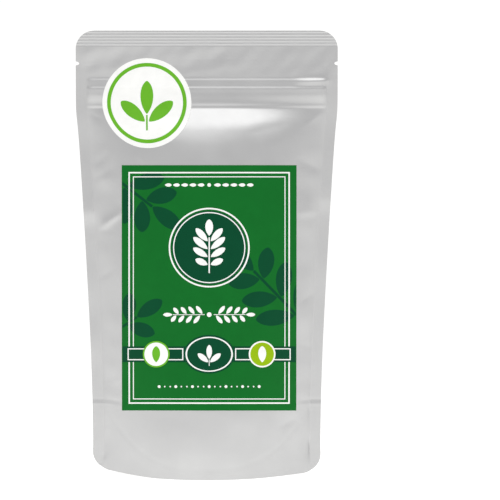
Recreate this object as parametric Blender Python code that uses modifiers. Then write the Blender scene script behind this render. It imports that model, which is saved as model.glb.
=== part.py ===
"""Filled stand-up pouch of silver foil laminate, with a press-to-close zip and a label.

Metres, +Z up. The pouch stands on the XY plane with its front towards -Y, and the origin is under its middle.
A place on the film is given by two flat measures, as if the pouch were laid out flat: across, from its
centre line, and up, from its bottom edge. The film doesn't stretch, so the pouch gets narrower where it
bulges. The laminate is modelled thicker than the real 0.12 mm, and sealed layers keep a small gap.
"""

import math

import bmesh
import bpy
from mathutils import Vector

# The empty pouch, laid flat
FLAT_WIDTH = 0.200
FLAT_HEIGHT = 0.340
CORNER_RADIUS = 0.014
BOTTOM_RADIUS = 0.015
SIDE_SEAL = 0.008
GUSSET_LEAF = 0.055

# The laminate, and the clearance between layers
FILM = 0.0005
GAP = 0.00035
STICKER = 0.0003

# Half the depth inside the filled pouch at its centre line, by height
FILLED_DEPTH = (
    (0.000, 0.0410),
    (0.022, 0.0422),
    (0.050, 0.0417),
    (0.090, 0.0400),
    (0.130, 0.0368),
    (0.187, 0.0306),
    (0.230, 0.0240),
    (0.254, 0.0182),
    (0.269, 0.0128),
    (0.283, 0.0036),
    (0.293, 0.0008),
    (0.318, 0.0000),
)
BULGE_POWER = 1.15
CORNER_LIFT = 0.0048
LIFT_START = 0.018
LIFT_END = 0.090
LIFT_POWER = 1.3
LIFT_REACH = 0.060

# The zip: two flanges with a profile that stands out behind the film
ZIP_BOTTOM = 0.283
ZIP_TOP = 0.303
ZIP_PROFILE = 0.2935
ZIP_HALF_LENGTH = 0.0893
FLANGE = 0.0004
FLANGE_FACE = 0.00065
PROFILE_FACE = 0.0019
PROFILE_HALF_HEIGHT = 0.0020
PROFILE_SLOPE = 0.0025

# The top seal and its five pressed ribs
SEAL_BOTTOM = 0.3288
RIB_COUNT = 5
RIB_HEIGHT = 0.0003
NOTCH_HEIGHT = 0.315
NOTCH_RADIUS = 0.0016

# The bottom web: how far its seal to the panels reaches up, in grid lines for each column, and its arch
WEB_SEAL_LINES = (3, 3, 3, 4, 4, 5, 6, 6, 6, 7, 8, 8, 8)
WEB_ARCH_POWER = 1.4
WEB_ARCH_SHARES = (0.85, 0.66, 0.45, 0.22, 0.0)

# The label and the round sticker
LABEL_LEFT = 0.0705
LABEL_RIGHT = 0.0735
LABEL_BOTTOM = 0.0487
LABEL_TOP = 0.2371
STICKER_CENTRE = (-0.0457, 0.285)
STICKER_RADIUS = 0.034

# The dried parsley inside
FILL_CLEARANCE = 0.0010
FILL_FOOT = 0.0028
FILL_HALF_WIDTH = 0.078
FILL_LEVEL = 0.250
FILL_FALL = 0.012
FILL_LUMP = 0.0025

# Where the film's grid lines run: across in half the width, and up
COLUMNS = (
    0.0, 0.012, 0.024, 0.036, 0.048, 0.060, LABEL_LEFT, LABEL_RIGHT, 0.079, 0.0855, 0.0898, 0.092, 0.100,
)
BODY_ROWS = (
    0.0, 0.002, 0.0045, 0.008, 0.014, 0.024, 0.037, LABEL_BOTTOM, 0.0530, 0.0548, 0.0568, 0.070, 0.086,
    0.104, 0.124, 0.146, 0.168, 0.190, 0.213, LABEL_TOP, 0.246, 0.254, 0.262, 0.271, 0.278, ZIP_BOTTOM,
)
ZIP_ROWS = (
    ZIP_PROFILE - PROFILE_HALF_HEIGHT - PROFILE_SLOPE,
    ZIP_PROFILE - PROFILE_HALF_HEIGHT,
    ZIP_PROFILE + PROFILE_HALF_HEIGHT,
    ZIP_PROFILE + PROFILE_HALF_HEIGHT + PROFILE_SLOPE,
    ZIP_TOP,
    0.306, 0.312, 0.318, 0.324,
)
RIB_ROWS = tuple(
    SEAL_BOTTOM + (FLAT_HEIGHT - SEAL_BOTTOM) * i / (2 * RIB_COUNT) for i in range(2 * RIB_COUNT + 1)
)
ROWS = BODY_ROWS + ZIP_ROWS + RIB_ROWS

ARC_STEPS = 80
FOIL = (0.60, 0.60, 0.60)
ZIP_PLASTIC = (0.85, 0.86, 0.86)
LABEL_GREEN = (0.013, 0.162, 0.032)
STICKER_WHITE = (0.90, 0.90, 0.88)
PARSLEY_GREEN = (0.055, 0.110, 0.035)


def through(points, at):
    """Height of a smooth curve through the points, which never overshoots between them."""
    if at <= points[0][0]:
        return points[0][1]
    if at >= points[-1][0]:
        return points[-1][1]
    slopes = [(b[1] - a[1]) / (b[0] - a[0]) for a, b in zip(points, points[1:])]
    tangents = [slopes[0]]
    for left, right in zip(slopes, slopes[1:]):
        tangents.append(0.0 if left * right <= 0 else 2 * left * right / (left + right))
    tangents.append(slopes[-1])
    i = max(k for k, point in enumerate(points[:-1]) if point[0] <= at)
    width = points[i + 1][0] - points[i][0]
    t = (at - points[i][0]) / width
    return (
        points[i][1] * (1 + 2 * t) * (1 - t) ** 2
        + tangents[i] * width * t * (1 - t) ** 2
        + points[i + 1][1] * t * t * (3 - 2 * t)
        - tangents[i + 1] * width * t * t * (1 - t)
    )


def ramp(value, start, end):
    """0 before start, 1 after end, straight between them; start may be the higher one."""
    return min(1.0, max(0.0, (value - start) / (end - start)))


def solve(rising, target, low, high):
    """The argument between low and high where a rising function reaches the target."""
    for _ in range(50):
        middle = (low + high) / 2
        if rising(middle) < target:
            low = middle
        else:
            high = middle
    return (low + high) / 2


def outline_half_width(up):
    """Half the flat width at a height, with the rounded corners."""
    from_end = min(up, FLAT_HEIGHT - up)
    radius = BOTTOM_RADIUS if up < FLAT_HEIGHT / 2 else CORNER_RADIUS
    if from_end >= radius:
        return FLAT_WIDTH / 2
    drop = radius - from_end
    return FLAT_WIDTH / 2 - radius + math.sqrt(max(0.0, radius**2 - drop**2))


def bulge(share):
    """Depth of the bulge as a share of its centre, at a share of the way out to the side seal."""
    return max(0.0, 1 - share * share) ** BULGE_POWER


def arc_out(depth, chord, steps=ARC_STEPS):
    """Lengths of film from the centre line out to evenly spaced places on the chord."""
    lengths = [0.0]
    for i in range(steps):
        rise = depth * (bulge((i + 1) / steps) - bulge(i / steps))
        lengths.append(lengths[-1] + math.hypot(rise, chord / steps))
    return lengths


class Level:
    """The film's cross-section at one height of the pouch."""

    def __init__(self, up):
        self.up = up
        self.edge = outline_half_width(up)
        self.film = FLAT_WIDTH / 2 - SIDE_SEAL
        self.depth = through(FILLED_DEPTH, up)
        self.chord = solve(lambda c: arc_out(self.depth, c)[-1], self.film, 0.5 * self.film, self.film)
        self.lengths = arc_out(self.depth, self.chord)

    def across(self, flat):
        """Distance from the centre plane of a place on the film, given how far across the flat film it is."""
        flat = min(flat, self.edge)
        if flat >= self.film:
            return self.chord + flat - self.film
        i = max(k for k, length in enumerate(self.lengths[:-1]) if length <= flat)
        part = (flat - self.lengths[i]) / (self.lengths[i + 1] - self.lengths[i])
        return self.chord * (i + part) / ARC_STEPS

    def half_depth(self, across):
        """Half the clear depth between the two panels, at a distance from the centre plane."""
        share = min(1.0, across / self.chord)
        plateau = ramp(across, self.chord, self.chord - 0.002)
        from_profile = abs(self.up - ZIP_PROFILE)
        over_flange = ramp(self.up, ZIP_BOTTOM - 0.005, ZIP_BOTTOM) * ramp(self.up, ZIP_TOP + 0.003, ZIP_TOP)
        over_profile = ramp(from_profile, PROFILE_HALF_HEIGHT + PROFILE_SLOPE, PROFILE_HALF_HEIGHT)
        zip_room = FLANGE_FACE * over_flange + (PROFILE_FACE - FLANGE_FACE) * over_profile
        web_room = (FILM + GAP) * ramp(self.up, 0.0568, 0.0548) * ramp(share, 0.8, 1.0)
        return GAP / 2 + web_room + self.depth * bulge(share) + (zip_room + GAP / 2) * plateau


def lift(flat, up):
    """How far the film is raised near the bottom corners, which don't touch the ground."""
    return CORNER_LIFT * ramp(flat, LIFT_START, LIFT_END) ** LIFT_POWER * ramp(up, LIFT_REACH, 0.0)


def rib(up):
    """Height of the pressed ribs of the top seal: alternate rows lie to the front and to the back."""
    if up not in RIB_ROWS[1:-1]:
        return 0.0
    return RIB_HEIGHT if RIB_ROWS.index(up) % 2 else -RIB_HEIGHT


def film_point(level, column, side):
    """Inner face of a panel at a column of the grid; side is -1 for the front and 1 for the back."""
    flat = abs(column) * level.edge / (FLAT_WIDTH / 2)
    across = level.across(flat)
    y = side * level.half_depth(across) + rib(level.up)
    return Vector((math.copysign(across, column), y, level.up + lift(flat, level.up)))


def mirrored(half, sign=-1):
    """Values for both halves of the pouch, from those of one half, which start at the centre line."""
    return tuple(sign * value for value in reversed(half[1:])) + tuple(half)


def sheet_mesh(name, point_at, across_count, up_count):
    """An open grid of across_count by up_count points, each placed by point_at(i, j).

    Each cell is split along its shorter diagonal, so that neighbouring layers are split alike.
    """
    bm = bmesh.new()
    bmesh.ops.create_grid(bm, x_segments=across_count - 1, y_segments=up_count - 1, size=1.0)
    for vert in bm.verts:
        i = round((vert.co.x + 1) / 2 * (across_count - 1))
        j = round((vert.co.y + 1) / 2 * (up_count - 1))
        vert.co = point_at(i, j)
    bmesh.ops.triangulate(bm, faces=bm.faces, quad_method="SHORT_EDGE")
    mesh = bpy.data.meshes.new(name)
    bm.to_mesh(mesh)
    bm.free()
    return mesh


def add_object(name, data, collection, material=None):
    obj = bpy.data.objects.new(name, data)
    collection.objects.link(obj)
    if material:
        data.materials.append(material)
    return obj


def material(name, colour, roughness, metallic=0.0):
    made = bpy.data.materials.new(name)
    made.use_nodes = True
    shader = made.node_tree.nodes["Principled BSDF"]
    shader.inputs["Base Color"].default_value = (*colour, 1.0)
    shader.inputs["Roughness"].default_value = roughness
    shader.inputs["Metallic"].default_value = metallic
    return made


def face_towards(obj, direction):
    """Turns an open sheet's faces so that most of them look along a direction."""
    total = sum((p.normal * p.area for p in obj.data.polygons), Vector())
    if total.dot(direction) < 0:
        obj.data.flip_normals()


def thicken(obj, thickness):
    """Gives an open sheet its thickness on the side that its faces look to."""
    shell = obj.modifiers.new("thickness", "SOLIDIFY")
    shell.thickness = thickness
    shell.offset = 1.0
    return shell


def bake(obj):
    """Replaces an object's mesh by what its modifiers make of it."""
    graph = bpy.context.evaluated_depsgraph_get()
    baked = bpy.data.meshes.new_from_object(obj.evaluated_get(graph))
    obj.modifiers.clear()
    obj.data = baked


def level_rim(obj):
    """Sets the bottom edge that carries the pouch exactly on the ground plane."""
    for vert in obj.data.vertices:
        if vert.co.z < GAP:
            vert.co.z = 0.0


def smooth(obj, degrees=30):
    obj.data.shade_smooth()
    obj.data.set_sharp_from_angle(angle=math.radians(degrees))


def cut(obj, cutter, operation="DIFFERENCE"):
    boolean = obj.modifiers.new(operation.lower(), "BOOLEAN")
    boolean.operation = operation
    boolean.object = cutter


def cylinder_cutter(name, collection, x, z, radius, length):
    """A round cutter that runs from front to back."""
    bm = bmesh.new()
    bmesh.ops.create_cone(
        bm, cap_ends=True, segments=32, radius1=radius, radius2=radius, depth=length
    )
    mesh = bpy.data.meshes.new(name)
    bm.to_mesh(mesh)
    bm.free()
    cutter = add_object(name, mesh, collection)
    cutter.location = (x, 0.0, z)
    cutter.rotation_euler = (math.pi / 2, 0.0, 0.0)
    cutter.hide_render = True
    cutter.display_type = "WIRE"
    return cutter


def build_panel(name, side, levels, parts, foil, notches):
    """One of the two large sheets: its inner face follows the filled pouch, its thickness goes outwards."""
    columns = mirrored(COLUMNS)
    mesh = sheet_mesh(name, lambda i, j: film_point(levels[j], columns[i], side), len(columns), len(levels))
    panel = add_object(name, mesh, parts, foil)
    face_towards(panel, Vector((0, side, 0)))
    thicken(panel, FILM)
    bake(panel)
    level_rim(panel)
    smooth(panel)
    for notch in notches:
        cut(panel, notch)
    return panel


def web_arch_height(half_span, film):
    """Rise of the free part of the web, from its seal to the fold, that uses up its length of film."""
    steps = 24

    def length(rise):
        total = 0.0
        for i in range(steps):
            drop = rise * ((((i + 1) / steps) ** WEB_ARCH_POWER) - (i / steps) ** WEB_ARCH_POWER)
            total += math.hypot(drop, half_span / steps)
        return total

    return solve(length, film, 0.0, film)


class WebColumn:
    """The bottom web at one column: sealed to the panel, then arched to the fold at the middle."""

    def __init__(self, column, lines, levels):
        sealed = [film_point(level, column, -1) + Vector((0, GAP, 0)) for level in levels[: lines + 1]]
        parts = max(WEB_SEAL_LINES) - lines + 1
        last = [sealed[-2].lerp(sealed[-1], (k + 1) / parts) for k in range(parts)]
        self.skirt = sealed[:-1] + last
        self.start = self.skirt[-1]
        self.rise = web_arch_height(abs(self.start.y), GUSSET_LEAF - levels[lines].up)

    def height(self, share):
        """Height of the arch; share is 1 at the seal and 0 at the fold."""
        return self.start.z + self.rise * (1 - share**WEB_ARCH_POWER)

    def upper_face(self):
        arch = [Vector((self.start.x, self.start.y * s, self.height(s))) for s in WEB_ARCH_SHARES]
        front = self.skirt + arch
        back = [Vector((p.x, -p.y, p.z)) for p in reversed(front[:-1])]
        return front + back


def web_columns(levels):
    lines = mirrored(WEB_SEAL_LINES, 1)
    return [WebColumn(column, count, levels) for column, count in zip(mirrored(COLUMNS), lines)]


def build_web(name, columns, parts, foil):
    """The bottom web: a sheet folded upwards between the panels and spread open by the contents."""
    runs = [column.upper_face() for column in columns]
    mesh = sheet_mesh(name, lambda i, j: runs[i][j], len(runs), len(runs[0]))
    web = add_object(name, mesh, parts, foil)
    face_towards(web, Vector((0, 0, -1)))
    thicken(web, FILM)
    bake(web)
    level_rim(web)
    smooth(web)
    return web


def outlined_bar(name, outline, half_length, parts, surface):
    """A bar along X whose section is an outline of (y, z) points."""
    curve = bpy.data.curves.new(name, "CURVE")
    curve.dimensions = "2D"
    curve.fill_mode = "BOTH"
    curve.extrude = half_length
    spline = curve.splines.new("POLY")
    spline.points.add(len(outline) - 1)
    for point, (y, z) in zip(spline.points, outline):
        point.co = (y, z, 0.0, 1.0)
    spline.use_cyclic_u = True
    bar = add_object(name, curve, parts, surface)
    bar.rotation_euler = (math.pi / 2, 0.0, math.pi / 2)
    return bar


def flange_outline(side, lock):
    """Section of one zip strip: a thin flange that steps out behind the profile drawn by lock."""
    slope_end = PROFILE_HALF_HEIGHT + PROFILE_SLOPE
    outer = (
        (FLANGE_FACE, ZIP_BOTTOM + GAP),
        (FLANGE_FACE, ZIP_PROFILE - slope_end),
        (PROFILE_FACE, ZIP_PROFILE - PROFILE_HALF_HEIGHT),
        (PROFILE_FACE, ZIP_PROFILE + PROFILE_HALF_HEIGHT),
        (FLANGE_FACE, ZIP_PROFILE + slope_end),
        (FLANGE_FACE, ZIP_TOP - GAP),
    )
    inner = (
        (FLANGE_FACE - FLANGE, ZIP_TOP - GAP),
        (FLANGE_FACE - FLANGE, ZIP_PROFILE + slope_end + FLANGE / 3),
        (PROFILE_FACE - FLANGE, ZIP_PROFILE + PROFILE_HALF_HEIGHT + FLANGE / 3),
    )
    inner_end = (
        (PROFILE_FACE - FLANGE, ZIP_PROFILE - PROFILE_HALF_HEIGHT - FLANGE / 3),
        (FLANGE_FACE - FLANGE, ZIP_PROFILE - slope_end - FLANGE / 3),
        (FLANGE_FACE - FLANGE, ZIP_BOTTOM + GAP),
    )
    return [(side * y, z) for y, z in outer + inner + lock + inner_end]


def groove_lock():
    """Two rails whose lips close on the ridge, as (distance from the middle plane, height) on one strip."""
    base = PROFILE_FACE - FLANGE
    tip, lip_back = -0.0009, -0.0004
    upper = (
        (base, ZIP_PROFILE + 0.00145),
        (tip, ZIP_PROFILE + 0.00145),
        (tip, ZIP_PROFILE + 0.0005),
        (lip_back, ZIP_PROFILE + 0.0005),
        (lip_back, ZIP_PROFILE + 0.00095),
        (base, ZIP_PROFILE + 0.00095),
    )
    lower = tuple((y, 2 * ZIP_PROFILE - z) for y, z in reversed(upper))
    return upper + lower


def ridge_lock():
    """A stem with a head that snaps in behind the rails' lips."""
    base = PROFILE_FACE - FLANGE
    head_end, head_start = -0.0010, -0.00005
    upper = (
        (base, ZIP_PROFILE + 0.0002),
        (head_start, ZIP_PROFILE + 0.0002),
        (head_start, ZIP_PROFILE + 0.00062),
        (head_end, ZIP_PROFILE + 0.00040),
    )
    lower = tuple((y, 2 * ZIP_PROFILE - z) for y, z in reversed(upper))
    return upper + lower


def sticker_sheet(name, low_column, high_column, low_row, high_row, levels, parts, surface):
    """A patch on the front panel along the panel's own grid lines, a gap above it."""
    columns = [c for c in mirrored(COLUMNS) if low_column <= c <= high_column]
    rows = [level for level in levels if low_row <= level.up <= high_row]
    mesh = sheet_mesh(name, lambda i, j: film_point(rows[j], columns[i], -1), len(columns), len(rows))
    sheet = add_object(name, mesh, parts, surface)
    face_towards(sheet, Vector((0, -1, 0)))
    normals = [vert.normal.copy() for vert in sheet.data.vertices]
    for vert, normal in zip(sheet.data.vertices, normals):
        vert.co += normal * (FILM + GAP)
    thicken(sheet, STICKER)
    smooth(sheet)
    return sheet


def fill_point(column, x_share, up_share, y_share):
    """A point of the contents: shares run from side to side and front to back (-1 to 1), and up (0 to 1)."""
    bottom = column.height(abs(y_share)) + FILL_FOOT
    lump = math.sin(5.3 * x_share + 1.1) * math.cos(2.9 * y_share + 0.7)
    top = FILL_LEVEL - FILL_FALL * x_share**2 + FILL_LUMP * lump
    level = Level(bottom + (top - bottom) * up_share)
    across = abs(x_share) * (level.chord - FILL_CLEARANCE)
    room = level.half_depth(across) - FILL_CLEARANCE
    return Vector((math.copysign(across, x_share), y_share * room, level.up))


def build_fill(name, columns, parts, surface):
    """The dried parsley as one loose mass: it fills the room between the panels, over the bottom web."""
    inside = [column for column in columns if abs(column.start.x) < FILL_HALF_WIDTH]
    y_shares = mirrored(tuple(reversed((1.0,) + WEB_ARCH_SHARES)))
    up_shares = (0.0, 0.08, 0.2, 0.35, 0.5, 0.65, 0.8, 0.9, 1.0)
    around = [(y, 0.0) for y in y_shares] + [(1.0, up) for up in up_shares[1:-1]]
    around += [(y, 1.0) for y in reversed(y_shares)] + [(-1.0, up) for up in reversed(up_shares[1:-1])]
    count = len(around)
    bm = bmesh.new()
    rings = []
    for column in inside:
        x_share = column.start.x / Level(column.start.z).chord
        rings.append([bm.verts.new(fill_point(column, x_share, up, y)) for y, up in around])
    for ring, following in zip(rings, rings[1:]):
        for k in range(count):
            n = (k + 1) % count
            bm.faces.new((ring[k], ring[n], following[n], following[k]))
    for ring in (rings[0], rings[-1]):
        bm.faces.new(ring)
    bmesh.ops.recalc_face_normals(bm, faces=bm.faces)
    mesh = bpy.data.meshes.new(name)
    bm.to_mesh(mesh)
    bm.free()
    fill = add_object(name, mesh, parts, surface)
    smooth(fill)
    return fill


def main():
    for obj in list(bpy.data.objects):
        bpy.data.objects.remove(obj)
    parts = bpy.data.collections.new("stand_up_pouch")
    cutters = bpy.data.collections.new("cutters")
    for collection in (parts, cutters):
        bpy.context.scene.collection.children.link(collection)

    foil = material("foil_laminate", FOIL, 0.35, 0.9)
    plastic = material("zip_polyethylene", ZIP_PLASTIC, 0.4)
    green = material("label_film", LABEL_GREEN, 0.35)
    white = material("sticker_film", STICKER_WHITE, 0.35)
    parsley = material("dried_parsley", PARSLEY_GREEN, 0.9)

    levels = [Level(up) for up in ROWS]
    half_width = FLAT_WIDTH / 2
    notches = [
        cylinder_cutter(f"notch_cutter_{i}", cutters, side * half_width, NOTCH_HEIGHT, NOTCH_RADIUS, 0.02)
        for i, side in enumerate((-1, 1))
    ]
    build_panel("front_panel", -1, levels, parts, foil, notches)
    build_panel("back_panel", 1, levels, parts, foil, notches)
    columns = web_columns(levels)
    build_web("bottom_gusset", columns, parts, foil)

    outlined_bar("zip_groove_strip", flange_outline(-1, groove_lock()), ZIP_HALF_LENGTH, parts, plastic)
    outlined_bar("zip_ridge_strip", flange_outline(1, ridge_lock()), ZIP_HALF_LENGTH, parts, plastic)

    sticker_sheet("front_label", -LABEL_LEFT, LABEL_RIGHT, LABEL_BOTTOM, LABEL_TOP, levels, parts, green)
    x, z = STICKER_CENTRE
    disc = sticker_sheet("round_sticker", x - 0.045, x + 0.045, z - 0.040, z + 0.0401, levels, parts, white)
    round_cutter = cylinder_cutter("sticker_cutter", cutters, x, z, STICKER_RADIUS, 0.1)
    cut(disc, round_cutter, "INTERSECT")

    build_fill("dried_parsley", columns, parts, parsley)


main()
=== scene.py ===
"""Looks of a filled stand-up pouch of silver foil laminate, laid out as an add-on and run as a script.

Everything on the pouch is drawn flat first, in the XZ plane, as the film was before the pouch was filled:
X runs across from the centre line, Z up from the bottom edge, and a point in front of the plane by some
height lies that height outside the film. wrap() then moves it to where the filled film lies.
"""

import math

import bpy
import numpy as np
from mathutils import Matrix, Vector


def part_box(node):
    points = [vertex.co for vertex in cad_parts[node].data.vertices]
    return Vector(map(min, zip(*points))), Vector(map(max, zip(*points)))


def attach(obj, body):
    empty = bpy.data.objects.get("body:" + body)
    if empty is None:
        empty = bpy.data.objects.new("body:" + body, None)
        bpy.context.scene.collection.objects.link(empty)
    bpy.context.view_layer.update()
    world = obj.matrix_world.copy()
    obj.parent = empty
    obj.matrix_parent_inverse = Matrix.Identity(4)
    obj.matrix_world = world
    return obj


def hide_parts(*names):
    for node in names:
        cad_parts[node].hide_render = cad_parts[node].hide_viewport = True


bl_info = {
    "name": "Stand-up pouch",
    "version": (1, 0, 0),
    "blender": (4, 5, 0),
    "location": "View3D > Sidebar > Pouch",
    "description": "Dresses the solids of a filled foil stand-up pouch with film, zip, label and stickers",
    "category": "Object",
}

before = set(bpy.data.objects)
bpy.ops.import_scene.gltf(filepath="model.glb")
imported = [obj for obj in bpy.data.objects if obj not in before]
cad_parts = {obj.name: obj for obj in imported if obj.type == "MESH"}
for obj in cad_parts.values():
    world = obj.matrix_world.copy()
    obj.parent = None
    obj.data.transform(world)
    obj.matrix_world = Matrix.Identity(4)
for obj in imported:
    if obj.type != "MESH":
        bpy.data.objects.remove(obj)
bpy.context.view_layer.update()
PANEL_LOW, PANEL_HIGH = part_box("front_panel")

# Half the depth inside the filled pouch at its centre line, by height: as the solids have it, but a little
# fuller just under the zip
FILLED_DEPTH = (
    (0.000, 0.0410),
    (0.022, 0.0422),
    (0.050, 0.0417),
    (0.090, 0.0400),
    (0.130, 0.0368),
    (0.187, 0.0306),
    (0.230, 0.0240),
    (0.254, 0.0187),
    (0.2645, 0.0150),
    (0.269, 0.0128),
    (0.283, 0.0036),
    (0.293, 0.0008),
    (0.318, 0.0000),
)
# How blunt the bulge is across
BULGE_POWER = 1.15

# The bottom corners are off the ground, the right one by this share of the left one's lift. The lift starts
# at one place across and is full at the next, grows by this power, and fades out up to this height.
CORNER_LIFT = 0.0032
LIFT_RIGHT = 0.25
LIFT_START = 0.040
LIFT_END = 0.090
LIFT_POWER = 1.3
LIFT_REACH = 0.060

# The zip's flanges and profile behind the film: where they are, and how far they push the film out
ZIP_BOTTOM = 0.283
ZIP_TOP = 0.303
ZIP_PROFILE = 0.2935
PROFILE_HALF_HEIGHT = 0.0020
FLANGE_FACE = 0.00050
PROFILE_FACE = 0.00165

# Lengths over which the film comes down from them: at the strips' ends, below the flanges, over and under
# their upper edge, below the profile, and above it, where a share of the height goes at once, the rest slowly
ZIP_END = 0.0025
FLANGE_BELOW = 0.0025
FLANGE_OVER = 0.0010
FLANGE_UNDER = 0.0012
PROFILE_BELOW = 0.0078
PROFILE_EDGE = 0.0025
PROFILE_REACH = 0.0100
EDGE_SHARE = 0.52

# The top seal's ribs and the tear notches
SEAL_BOTTOM = 0.3280
RIB_PITCH = 0.00235
RIB_HEIGHT = 0.00015
NOTCH_HEIGHT = 0.315
NOTCH_DEPTH = 0.0026
NOTCH_HALF_HEIGHT = 0.0015

# The bottom web: length of each leaf from edge to fold, height of its seal to the panels in the middle and at
# the side seals, and how blunt that seal's curve and the arch between the panels are
GUSSET_LEAF = 0.055
WEB_SEAL_CENTRE = 0.008
WEB_SEAL_SIDE = 0.053
WEB_SEAL_POWER = 2.6
WEB_ARCH_POWER = 1.4

# The film is drawn this much further out than the solids' inner face, so that the contents stay behind it,
# and its folds reach in by no more than the next
CLEARANCE = 0.00035
DEEPEST = 0.0008

# Layers on the film: clear space between two of them, so that neither shows through the other, thickness of
# ink, and the step of the grid along which all of them are cut
CONTACT = 0.00002
INK = 0.00003
GRID_STEP = 0.0015

# The eye that the camera and the label's artwork are set for: degrees above level, the height that it looks
# at, and its distance
SEEN_ELEVATION = 4.5
SEEN_HEIGHT = 0.17
SEEN_DISTANCE = 3.0
SEEN_SLOPE = math.tan(math.radians(SEEN_ELEVATION))

# Irregular waves of the film: height, how many sines they are made of, shortest and longest wavelength
BODY_WAVES = (0.00034, 7, 0.045, 0.110)
SEAM_WAVES = (0.00014, 6, 0.016, 0.034)
HEAD_WAVES = (0.00022, 6, 0.012, 0.040)
SIDE_WAVES = (0.00022, 5, 0.030, 0.070)

# The slow bow of the sealed head: height and wavelength
HEAD_BOW = 0.0009
HEAD_BOW_LENGTH = 0.30

# The pressed edge of the web's seal, and the line of its fold across the side seals: heights of its ridge and
# its valley
WEB_PRESS = 0.00010
FOLD_LINE = 0.00010
FOLD_RIDGE = 0.0562
FOLD_VALLEY = 0.0542

# A bump in each side seal: side, height above the ground, size; and how far it reaches below and above that
SEAL_BUMPS = ((-1, 0.203, 0.0018), (1, 0.213, 0.0009))
BUMP_BELOW = 0.0090
BUMP_ABOVE = 0.0200

# Where each of these starts and where it is full, across from the middle or up from the ground
BODY_SIDE = (0.0925, 0.080)
BODY_TOP = (0.282, 0.262)
BODY_FOOT = (0.004, 0.05)
SEAM_SIDE = (0.060, 0.086)
SEAM_TOP = (0.275, 0.240)
SEAM_FOOT = (0.03, 0.09)
WEB_PRESS_SIDE = (0.093, 0.088)
BOW_FOOT = (0.300, 0.336)
HEAD_FOOT = (0.305, 0.314)
HEAD_CALM = (0.322, 0.331)
RIBS_TOP = (0.3399, 0.3392)
SIDE_SEAL_SIDE = (0.070, 0.096)
SIDE_SEAL_TOP = (0.305, 0.27)
SIDE_SEAL_FOOT = (0.05, 0.09)
FOLD_SIDE = (0.062, 0.078)
BUMP_SIDE = (0.078, 0.090)


def linear(hex_colour):
    """Linear RGB from an sRGB hex colour."""
    values = [int(hex_colour[i : i + 2], 16) / 255 for i in (1, 3, 5)]
    return tuple(v / 12.92 if v <= 0.04045 else ((v + 0.055) / 1.055) ** 2.4 for v in values)


class PouchSizes(bpy.types.PropertyGroup):
    """Sizes of the film and of what is stuck on it, in metres."""

    flat_width: bpy.props.FloatProperty(
        name="Flat width",
        description="Width of the empty pouch, laid flat",
        default=PANEL_HIGH.x - PANEL_LOW.x,
        unit="LENGTH",
    )
    flat_height: bpy.props.FloatProperty(
        name="Flat height",
        description="Height of the empty pouch, laid flat",
        default=0.340,
        unit="LENGTH",
    )
    corner_radius: bpy.props.FloatProperty(
        name="Top corner radius", description="Radius of the two upper corners", default=0.014, unit="LENGTH"
    )
    bottom_radius: bpy.props.FloatProperty(
        name="Bottom corner radius",
        description="Radius of the two lower corners",
        default=0.015,
        unit="LENGTH",
    )
    side_seal: bpy.props.FloatProperty(
        name="Side seal", description="Width of the seal along each side", default=0.008, unit="LENGTH"
    )
    film: bpy.props.FloatProperty(
        name="Film", description="Thickness of the laminate as drawn", default=0.0002, unit="LENGTH"
    )
    label_left: bpy.props.FloatProperty(
        name="Label left", description="Place of the label's left edge across", default=-0.0647, unit="LENGTH"
    )
    label_right: bpy.props.FloatProperty(
        name="Label right",
        description="Place of the label's right edge across",
        default=0.0684,
        unit="LENGTH",
    )
    label_bottom: bpy.props.FloatProperty(
        name="Label bottom", description="Height of the label's lower edge", default=0.0484, unit="LENGTH"
    )
    label_top: bpy.props.FloatProperty(
        name="Label top", description="Height of the label's upper edge", default=0.2372, unit="LENGTH"
    )
    label_paper: bpy.props.FloatProperty(
        name="Label paper", description="Thickness of the label and sticker", default=0.00012, unit="LENGTH"
    )
    sticker_x: bpy.props.FloatProperty(
        name="Sticker across", description="Place of the round sticker across", default=-0.0457, unit="LENGTH"
    )
    sticker_z: bpy.props.FloatProperty(
        name="Sticker height",
        description="Height of the round sticker's centre",
        default=0.285,
        unit="LENGTH",
    )
    sticker_radius: bpy.props.FloatProperty(
        name="Sticker radius", description="Radius of the round sticker", default=0.034, unit="LENGTH"
    )


def colour_property(name, description, hex_colour):
    return bpy.props.FloatVectorProperty(
        name=name, description=description, subtype="COLOR", size=3, min=0, max=1, default=linear(hex_colour)
    )


class PouchColours(bpy.types.PropertyGroup):
    """Colours of the film and the inks."""

    foil: colour_property("Foil", "The silver laminate", "#C8C8C8")
    label_green: colour_property("Label green", "Ground of the label", "#0F6A26")
    leaf_green: colour_property("Leaf green", "Leaves printed tone on tone", "#034A2C")
    dark_green: colour_property("Dark green", "Medallion and band", "#02482C")
    lime: colour_property("Lime", "Small accents", "#96BA10")
    ring_green: colour_property("Ring green", "Ring of the round sticker", "#6AB42D")
    white: colour_property("White", "Lines and the round sticker", "#F8F8F6")


# The film in space


def smooth_through(points, at):
    """A smooth curve through the points, which never overshoots between them, read at an array of places."""
    xs, ys = np.array(points).T
    widths = np.diff(xs)
    slopes = np.diff(ys) / widths
    product = slopes[:-1] * slopes[1:]
    total = slopes[:-1] + slopes[1:]
    inner = np.where(product > 0, 2 * product / np.where(total == 0, 1, total), 0.0)
    tangents = np.concatenate(([slopes[0]], inner, [slopes[-1]]))
    at = np.clip(at, xs[0], xs[-1])
    i = np.clip(np.searchsorted(xs, at, side="right") - 1, 0, len(widths) - 1)
    t = (at - xs[i]) / widths[i]
    return (
        ys[i] * (1 + 2 * t) * (1 - t) ** 2
        + tangents[i] * widths[i] * t * (1 - t) ** 2
        + ys[i + 1] * t * t * (3 - 2 * t)
        - tangents[i + 1] * widths[i] * t * t * (1 - t)
    )


def ramp(value, start, end):
    """0 before start, 1 after end, straight between them; start may be the higher one."""
    return np.clip((value - start) / (end - start), 0.0, 1.0)


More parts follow.
